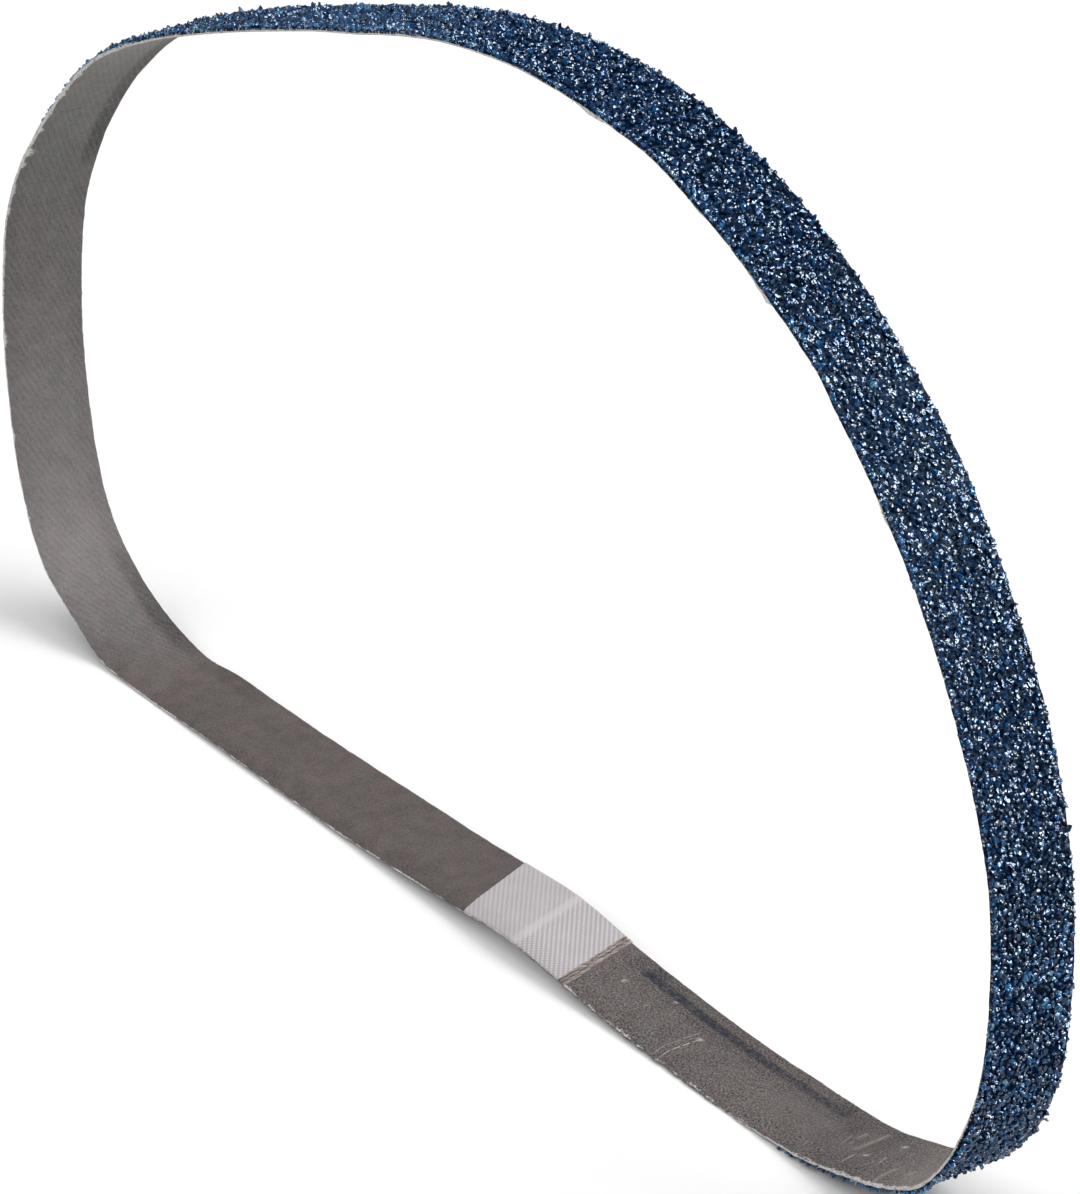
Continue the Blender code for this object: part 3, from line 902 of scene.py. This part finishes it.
def grain_layer(material):
    """All grains, each its own small crystal, in a few pieces along the belt."""
    rng = np.random.default_rng(GRAIN_SEED + 2)
    shapes = crystal_shapes()
    grains = thrown_grains()
    at_rim = rim_grains(rng)
    first_at_rim = len(grains)
    grains = np.concatenate([grains, at_rim[:, :3]])
    count = len(grains)
    d, y, size = grains.T
    at = leaning(d, y)
    flat = rng.random(count) < FLAT_SHARE + FLAT_FAR * np.clip(y / HALF_WIDTH, 0, 1)
    turns = random_turns(rng, count, np.where(flat, FLAT_LEAN, GRAIN_LEAN))
    stretch = np.stack([size * rng.uniform(low, high, count)
                        for low, high in (GRAIN_LENGTHS, GRAIN_BREADTHS, GRAIN_HEIGHTS)], axis=1)
    middle = GRAIN_MIDDLE + rng.uniform(*GRAIN_SINKS, count) - (size - USUAL_GRAIN) * LARGER_LOWER
    proud = rng.random(count) < PROUD_SHARE + PROUD_ON_TOP * soft_window(d / MM, *PROUD_ZONE)
    middle = middle + proud * rng.uniform(*PROUD_BY, count)
    stretch = np.where(proud[:, None], stretch * SPIKE, stretch)
    flat = flat & ~proud
    skirt = read_off(SKIRT, d)
    sinks = rise(-y / MM, *EDGE_GRAINS) * (skirt < RUNS_OVER) * rng.uniform(0, 1, count)
    middle = middle - sinks * (0.5 - skirt) * 0.8 * MM
    kind = rng.integers(0, GRAIN_SHAPES, count)
    tint = rng.beta(*GRAIN_TINTS, count)
    tint = np.clip(tint + SIDE_LIGHTER * np.clip(1 - (y + HALF_WIDTH) / SIDE_REACH, 0, 1), 0, 1)
    tint = np.clip(tint + LOWER_TINT * soft_window(d / MM, *LOWER_BEND), 0, 1)
    gloss = rng.uniform(*GRAIN_ROUGHNESS, count)
    middle[first_at_rim:] = at_rim[:, 3]
    low_down = np.clip(1 - (middle - 0.0004) / 0.0004, 0, 1) * (np.arange(count) >= first_at_rim)
    on_top = soft_window(d / MM, *TOP_GRAIN)
    gloss = gloss + TOP_ROUGHER * on_top
    tint = np.clip(tint + on_top * (TOP_BLUER + TOP_RIM_PALER * low_down), 0, 1)
    free = -y < HALF_WIDTH - read_off(COAT_INSET, d) * MM - size * 0.5
    free = free & (rng.random(count) > THINNED_SHARE * soft_window(d / MM, *THINNED))
    free[first_at_rim:] = True
    start = 0.0
    for name, end in GRAIN_PIECES:
        points, faces, owners = [], [], []
        offset = 0
        for index in np.nonzero((d >= start) & (d < end) & free)[0]:
            shape, triangles = shapes[kind[index]]
            if flat[index]:
                shape = shape.copy()
                shape[:, 2] = np.minimum(shape[:, 2], FLAT_AT)
            points.append((shape * stretch[index]) @ turns[index].T)
            faces.append(triangles + offset)
            offset += len(shape)
            owners.append(np.full(len(shape), index))
        local = np.concatenate(points)
        owner = np.concatenate(owners)
        distance = at[owner] + local[:, 0]
        side = np.clip(y[owner] + local[:, 1], -HALF_WIDTH - GRAIN_PAST_NEAR, HALF_WIDTH + GRAIN_PAST_FAR)
        height = np.minimum(middle[owner] + local[:, 2], BELT_THICKNESS + GRAIN_PAST_OUTSIDE)
        lowest = np.where(side < -HALF_WIDTH + 0.00002, read_off(SKIRT, distance) * MM, BACKING_THICKNESS)
        height = np.maximum(height, lowest - 0.00004)
        values = {"tint": tint[owner], "gloss": gloss[owner]}
        piece = belt_piece(name, (distance, side, height), np.concatenate(faces).tolist(),
                           material, values, rolled=(owner < first_at_rim) * 1.0)
        piece.data.set_sharp_from_angle(angle=SHARP)
        start = end


# The tape over the joint
TAPE_STEP = 0.00012
TAPE_THICKNESS = 0.00015
TAPE_CLEAR = 5 * MICRON
RIB_PITCH = 0.00058
RIB_ANGLE = math.radians(140)
CROSS_ANGLE = math.radians(38)
RIB_HEIGHT = 0.00003
CROSS_PITCH = 0.00036
# The second set starts at the first distance, and shows in full over the second
CROSSED_FROM = (0.0004, 0.001)
# The ridge over the joint: from, to and fade in mm, how high it stands, and how pale the painted highlight
# along it is, from 0 to 1
RIDGE_ZONE = (0.3, 0.8, 0.8)
RIDGE_HEIGHT = 0.00008
RIDGE_PAINTED_HIGHLIGHT = 0.45
# How far the tape stops short of the belt's sides, and how far in it has its full thickness
TAPE_STANDS_IN = 0.00004
TAPE_RISES = 0.0002
# Over the rolled near edge the tape's ends lie back by up to this much
TAPE_DRAWN_BACK = 0.0008
# At its far end the tape's film is gone and its threads lie bare, over this length
TAPE_FRINGE = 0.00135


def tape_material():
    shader = Shader("ribbed_tape_film", Specular_IOR_Level=0.06, Sheen_Weight=0.1, Sheen_Roughness=0.4)
    place = shader.place()
    cloudy = shader.noise(place, 0.3, 3.0, 0.6)
    fine = shader.noise(place, 3.0, 3.0, 0.6)
    rib = shader.attribute("rib")
    low = shader.mix(shader.swing(cloudy), srgb(157, 153, 155), srgb(166, 160, 163))
    high = shader.mix(shader.swing(cloudy), srgb(182, 180, 180), srgb(187, 181, 184))
    colour = shader.mix(rib, low, high)
    # The crossing threads show as small light dots on the ribs, painted highlights of the weave, and as
    # dimmer gaps between them, painted shade
    line = shader.lines(place, CROSS_ANGLE, CROSS_PITCH / MM)
    wave = shader.maths("COSINE", shader.maths("MULTIPLY", line, 2 * math.pi))
    painted_weave_dots = shader.maths("MULTIPLY", shader.spread(wave, -1, 1), rib)
    crossed = shader.attribute("crossed")
    colour = shader.mix(shader.maths("MULTIPLY", crossed, shader.spread(painted_weave_dots, 0.3, 0.75, 0.0, 0.75)), colour,
                        srgb(218, 213, 215))
    colour = shader.mix(shader.maths("MULTIPLY", crossed, shader.spread(painted_weave_dots, 0.3, 0.0, 0.0, 0.35)), colour,
                        srgb(150, 145, 149))
    # A pale painted highlight along the ridge over the joint
    colour = shader.mix(shader.attribute("ridge_and_highlight"), colour, srgb(202, 194, 195))
    colour = shader.mix(shader.spread(fine, 0.35, 0.7, 0.0, 0.25), colour, srgb(166, 161, 163))
    normal = shader.bump(fine, 0.00002, 0.4)
    return shader.wire(Base_Color=colour, Normal=normal, Roughness=shader.swing(cloudy, 0.5, 0.68))


def tape_piece(material):
    """The tape: ribs of thread run aslant all over it, crossed by a second set past the joint."""
    start = TAPE_OFF_CENTRE - TAPE_LENGTH / 2
    body = TAPE_LENGTH - TAPE_FRINGE
    distance = sections(start, start + body, TAPE_STEP)[:, None]
    columns = round(BELT_WIDTH / TAPE_STEP)
    shares = np.concatenate([np.linspace(-1, 1, columns + 1), [1.0, -1.0]])
    top = np.concatenate([np.ones(columns + 1), np.zeros(2)])
    side = shares * (HALF_WIDTH - TAPE_STANDS_IN) + 0 * distance
    at = leaning(distance, side) - TAPE_DRAWN_BACK * rolled_share(side)
    past = rise(distance, *CROSSED_FROM)
    phase = (-math.sin(RIB_ANGLE) * at + math.cos(RIB_ANGLE) * side) / RIB_PITCH
    rib = (0.5 + 0.5 * np.cos(2 * math.pi * phase)) * (0.9 - 0.1 * past)
    ridge_and_highlight = soft_window(distance / MM, *RIDGE_ZONE) + 0 * side
    edge = np.clip((HALF_WIDTH - np.abs(side)) / TAPE_RISES, 0, 1)
    height = TAPE_CLEAR + top * (TAPE_THICKNESS - RIB_HEIGHT * (1 - rib)) * (0.5 + 0.5 * edge)
    height = height + top * RIDGE_HEIGHT * ridge_and_highlight
    values = {"rib": rib, "ridge_and_highlight": RIDGE_PAINTED_HIGHLIGHT * ridge_and_highlight, "crossed": past + 0 * side}
    faces = ring_faces(*side.shape)
    piece = belt_piece("splice_tape", (at, side, -height), faces, material, values)
    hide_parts("joint_tape")


# A direction that no thread runs in: the tubes' cross-sections are turned by it
THREAD_GUIDE = (0.31, 0.52, 0.79)
# How blunt a thread's ends are, from 0 for a point
THREAD_TIP = 0.25


def thread_tubes(name, threads, material, sides):
    """Short threads as closed tubes, each given by its points (x, y, z), its half width and its shade."""
    points, faces, values = [], [], []
    offset = 0
    for run, thick, shade in threads:
        tangent = np.gradient(run, axis=0)
        tangent /= np.linalg.norm(tangent, axis=1)[:, None]
        first = np.cross(tangent, THREAD_GUIDE)
        first /= np.linalg.norm(first, axis=1)[:, None]
        second = np.cross(tangent, first)
        angles = (np.arange(sides) * 2 * math.pi / sides)[:, None]
        around = np.cos(angles) * first[:, None] + np.sin(angles) * second[:, None]
        taper = np.sin(np.linspace(THREAD_TIP, math.pi - THREAD_TIP, len(run))) ** 0.5 * thick
        points.append((run[:, None] + taper[:, None, None] * around).reshape(-1, 3))
        faces += [[corner + offset for corner in face[::-1]] for face in ring_faces(len(run), sides)]
        offset += len(run) * sides
        values.append(np.full(len(run) * sides, shade))
    points = np.concatenate(points)
    points[:, 2] = np.maximum(points[:, 2], 0)
    mesh_piece(name, points, faces, material, points, {"shade": np.concatenate(values)})


def thread_material(name, dark, light):
    shader = Shader(name, Roughness=0.85, Specular_IOR_Level=0.03)
    fine = shader.noise(shader.place(), 9.0, 2.0)
    colour = shader.mix(shader.attribute("shade"), dark, light)
    colour = shader.mix(shader.swing(fine, 0.0, 0.3), colour, dark)
    return shader.wire(Base_Color=colour)


# Rows of threads past the end of the tape's film: distance beyond it, and from how dark to how light they are
FRINGE_ROWS = (
    (0.00008, 0.75, 1.0), (0.00030, 0.0, 0.5), (0.00052, 0.5, 1.0), (0.00077, 0.1, 0.6),
    (0.00100, 0.5, 1.0), (0.00122, 0.3, 1.0),
)
STITCH_LENGTHS = (0.0007, 0.0016)
STITCH_HALF_WIDTHS = (0.00008, 0.00013)
STITCH_DRIFT = 0.00007
STITCH_RAISED = 0.00006


def tape_stitches(material):
    """Rows of short threads along the tape's far end, where its film is gone."""
    rng = np.random.default_rng(51)
    end = TAPE_OFF_CENTRE + TAPE_LENGTH / 2 - TAPE_FRINGE
    threads = []
    for beyond, low_shade, high_shade in FRINGE_ROWS:
        side = -HALF_WIDTH + 0.0001
        while side < HALF_WIDTH - 0.0003:
            length = min(rng.uniform(*STITCH_LENGTHS), HALF_WIDTH - side)
            ys = np.linspace(side, side + length, 5)
            drift = np.linspace(-STITCH_DRIFT, STITCH_DRIFT, 5) + rng.uniform(-0.00008, 0.00008)
            at = leaning(np.full(5, end + beyond) + drift, ys) - TAPE_DRAWN_BACK * rolled_share(ys)
            run = on_belt(at, ys, -STITCH_RAISED, rolled=1.0)
            threads.append((run, rng.uniform(*STITCH_HALF_WIDTHS), rng.uniform(low_shade, high_shade)))
            side += length * rng.uniform(0.8, 1.05)
    thread_tubes("tape_end_threads", threads, material, sides=6)


def scratch_lines(material):
    """Scratches: broken lines of cotton that was raised out of the filling."""
    rng = np.random.default_rng(71)
    marks = list(SCRATCHES)
    start, end, count = FINE_SCRATCHES
    for _ in range(count):
        d = rng.uniform(start, end)
        y = rng.uniform(-5.4, 4.6)
        heading = rng.normal(SCRATCH_HEADING, SCRATCH_SPREAD)
        length = rng.uniform(*SCRATCH_PIECES)
        end_d = d + length * math.cos(heading)
        end_y = y + length * math.sin(heading)
        marks.append((d, y, end_d, end_y, FINE_SCRATCH_HALF, rng.uniform(0.1, 0.6)))
    threads = []
    for start_d, start_y, end_d, end_y, half, strength in marks:
        length = math.hypot(end_d - start_d, end_y - start_y)
        at = 0.0
        while at < length:
            piece = min(rng.uniform(*SCRATCH_PIECES), length - at + 0.1)
            along = np.linspace(at, at + piece, 4) / length
            d = (start_d + (end_d - start_d) * along + rng.uniform(-0.03, 0.03)) * MM
            y = np.clip((start_y + (end_y - start_y) * along) * MM, -HALF_WIDTH + 0.0001, HALF_WIDTH - 0.0001)
            run = on_belt(d, y, -SCRATCH_RAISED, rolled=1.0)
            half_width = SCRATCH_BREADTH * half * MM * rng.uniform(0.7, 1.2)
            threads.append((run, half_width, strength * rng.uniform(0.7, 1.0)))
            at += piece + rng.uniform(0.0, 0.3)
    thread_tubes("scratches", threads, material, sides=4)


# How many loose cotton ends are tried along the near (-1) and the far (1) cut edge
EDGE_FIBRES = ((-1, 900), (1, 350))
FIBRE_LENGTHS = (0.0002, 0.0006)
FIBRE_HALF_WIDTHS = (0.000018, 0.00004)
# How far a fibre bulges out from a line that lies just inside the edge
FIBRE_BULGE = (0.00002, 0.00012)
FIBRE_INSIDE = 0.00008
# Where the near edge is frayed most: from, to and fade in mm
FRAYED_ZONES = ((336, 372, 6), (12, 90, 5))


def edge_fibres(material):
    """Loose cotton ends along both cut edges of the cloth, more where the near edge is worn."""
    rng = np.random.default_rng(61)
    threads = []
    for sign, count in EDGE_FIBRES:
        spots = rng.uniform(0, BELT_LENGTH, count)
        first, second = [soft_window(spots / MM, *zone) for zone in FRAYED_ZONES]
        for d, chance in zip(spots, 0.1 + 0.9 * np.maximum(first, second)):
            if sign < 0 and rng.random() > chance:
                continue
            length = rng.uniform(*FIBRE_LENGTHS)
            along = np.linspace(0, 1, 4)
            heading = rng.uniform(-1.0, 1.0)
            bulge = rng.uniform(*FIBRE_BULGE)
            ds = d + heading * length * along
            ys = sign * (HALF_WIDTH - FIBRE_INSIDE + bulge * np.sin(along * math.pi * 0.8))
            heights = rng.uniform(0.0, 0.00045) + rng.uniform(-0.0002, 0.0002) * along
            run = on_belt(ds, ys, np.clip(heights, -0.00008, 0.0006), rolled=1.0)
            threads.append((run, rng.uniform(*FIBRE_HALF_WIDTHS), rng.uniform(0.3, 1.0)))
    thread_tubes("edge_fibres", threads, material, sides=4)


# The studio: how far its floor reaches each way, how high the floor lies, and how bright the surround is
FLOOR_REACH = 6.0
FLOOR_CORNERS = ((-1, -1), (1, -1), (1, 1), (-1, 1))
FLOOR_HEIGHT = -2 * MICRON
WORLD_LIGHT = 0.1
# Soft boxes: name, direction from the belt, distance, size, brightness, whether the box lights matt surfaces,
# and whether glossy ones, such as the grain's facets, mirror it
LIGHTS = (
    ("key_box", (0.53, 0.543, 0.65), 1.2, (1.0, 1.0), 3.6, True, True),
    ("sparkle_box", (0.56, 0.543, 0.60), 1.25, (1.1, 1.1), 32.0, False, True),
    ("overhead_box", (-0.1, 0.1, 1.0), 4.0, (6.0, 6.0), 0.26, True, True),
    ("fill_box", (0.1, -0.2, 1.0), 4.5, (8.5, 8.5), 1.0, True, False),
    ("front_box", (-0.3, -0.8, 0.5), 1.5, (1.4, 1.0), 2.0, True, True),
)


def studio():
    """A pale floor, soft lights and a dim white surround."""
    scene = bpy.context.scene
    scene.view_settings.view_transform = "Standard"
    world = bpy.data.worlds.new("studio")
    world.use_nodes = True
    surround = world.node_tree.nodes["Background"].inputs
    surround["Color"].default_value = (1.0, 1.0, 1.0, 1.0)
    surround["Strength"].default_value = WORLD_LIGHT
    scene.world = world

    corners = [(x * FLOOR_REACH, y * FLOOR_REACH, FLOOR_HEIGHT) for x, y in FLOOR_CORNERS]
    mesh = bpy.data.meshes.new("floor")
    mesh.from_pydata(corners, [], [(0, 1, 2, 3)])
    floor = placed("floor", mesh)
    paper = Shader("floor_paper", Roughness=0.9, Specular_IOR_Level=0.01)
    grain = paper.noise(paper.add("ShaderNodeNewGeometry", {}).outputs["Position"], 40.0, 3.0)
    mesh.materials.append(paper.wire(Base_Color=paper.mix(grain, srgb(236, 236, 236), srgb(240, 240, 240))))

    for name, direction, distance, size, radiance, lights_matt, is_mirrored in LIGHTS:
        lamp = bpy.data.lights.new(name, "AREA")
        lamp.shape = "RECTANGLE"
        lamp.size, lamp.size_y = size
        lamp.energy = radiance * math.pi * size[0] * size[1]
        holder = placed(name, lamp)
        spot = Vector(direction).normalized() * distance + Vector(VIEW_TARGET)
        holder.location = spot
        holder.rotation_euler = (Vector(VIEW_TARGET) - spot).to_track_quat("-Z", "Y").to_euler()
        holder.visible_diffuse = lights_matt
        holder.visible_glossy = is_mirrored


def camera():
    """The camera of the photograph."""
    a, e, r = VIEW_AZIMUTH, VIEW_ELEVATION, VIEW_ROLL
    forward = Vector((-math.sin(a) * math.cos(e), math.cos(a) * math.cos(e), -math.sin(e)))
    level_right = Vector((math.cos(a), math.sin(a), 0))
    level_up = level_right.cross(forward)
    right = math.cos(r) * level_right + math.sin(r) * level_up
    up = -math.sin(r) * level_right + math.cos(r) * level_up
    data = bpy.data.cameras.new("photo_camera")
    data.sensor_fit = "AUTO"
    data.sensor_width = SENSOR
    data.lens = FOCAL_OVER_HEIGHT * SENSOR
    data.clip_start = 0.01
    data.clip_end = 20.0
    holder = placed("photo_camera", data)
    turn = Matrix((right, up, -forward)).transposed().to_4x4()
    holder.matrix_world = Matrix.Translation(Vector(VIEW_TARGET) - VIEW_DISTANCE * forward) @ turn
    bpy.context.scene.camera = holder


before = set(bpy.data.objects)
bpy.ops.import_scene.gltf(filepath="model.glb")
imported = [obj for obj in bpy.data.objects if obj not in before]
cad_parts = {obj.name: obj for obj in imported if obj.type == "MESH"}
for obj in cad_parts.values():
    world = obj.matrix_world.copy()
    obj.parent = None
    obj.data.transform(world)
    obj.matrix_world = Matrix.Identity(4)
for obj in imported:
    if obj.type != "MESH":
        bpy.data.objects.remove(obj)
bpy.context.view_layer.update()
camera()
studio()
cloth_strip(cloth_material())
resin_layer(resin_material())
grain_layer(grain_material())
tape_piece(tape_material())
tape_stitches(thread_material("tape_thread", srgb(106, 88, 82), srgb(186, 177, 173)))
edge_fibres(thread_material("cotton_fibre", srgb(125, 119, 116), srgb(186, 182, 178)))
scratch_lines(thread_material("raised_cotton", srgb(112, 105, 103), srgb(214, 208, 205)))
